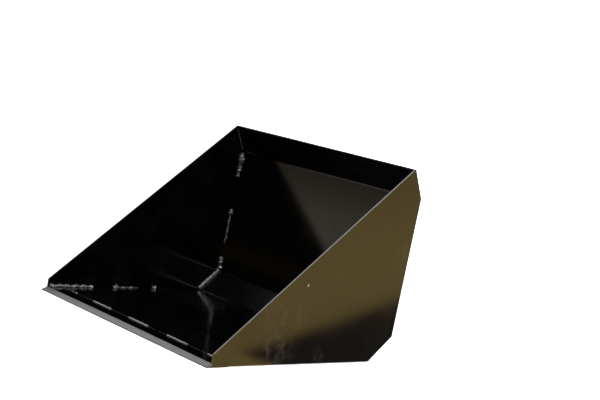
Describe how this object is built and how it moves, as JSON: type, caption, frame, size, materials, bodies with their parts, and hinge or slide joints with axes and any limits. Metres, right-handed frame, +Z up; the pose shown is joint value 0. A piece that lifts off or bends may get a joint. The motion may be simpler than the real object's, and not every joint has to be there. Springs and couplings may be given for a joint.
{
  "type": "skid steer bucket",
  "caption": "Open-fronted loader bucket of bent sheet and flat end plates, with a bevelled cutting edge and a hook-and-ledge receiver on its back.",
  "frame": {"origin": "middle of the footprint at ground level: mid width, and midway between the cutting tip and the rear edge of the receiver's ledge, with the bucket resting flat", "axes": "+X across the width towards the operator's left, +Y back towards the machine, +Z up; the mouth faces -Y"},
  "size_m": [0.9, 0.885, 0.6308],
  "materials": {
    "shell_paint": "gloss",
    "side_paint": "gloss",
    "mount_paint": "gloss",
    "weld_paint": "gloss over rough bead",
    "edge_steel": "gloss, worn to bare steel on the bevel",
    "strip_steel": "satin, scuffed underneath"
  },
  "bodies": {
    "root": {"bucket_shell": "shell_paint", "cheek_welds": "weld_paint", "cutting_edge": "edge_steel", "edge_stitch_welds": "weld_paint", "edge_underside_weld": "weld_paint", "hook_weld": "weld_paint", "inner_corner_weld_left": "weld_paint", "inner_corner_weld_right": "weld_paint", "ledge_gusset_left": "mount_paint", "ledge_gusset_right": "mount_paint", "ledge_weld": "weld_paint", "mount_cheek_left": "mount_paint", "mount_cheek_right": "mount_paint", "mount_face_plate": "mount_paint", "mount_hook": "mount_paint", "mount_ledge": "mount_paint", "mount_rib_left": "mount_paint", "mount_rib_right": "mount_paint", "rib_welds": "weld_paint", "side_plate_left": "side_paint", "side_plate_right": "side_paint", "wear_strip_centre": "strip_steel", "wear_strip_left": "strip_steel", "wear_strip_right": "strip_steel", "wear_strip_welds": "weld_paint"}
  },
  "joints": []
}
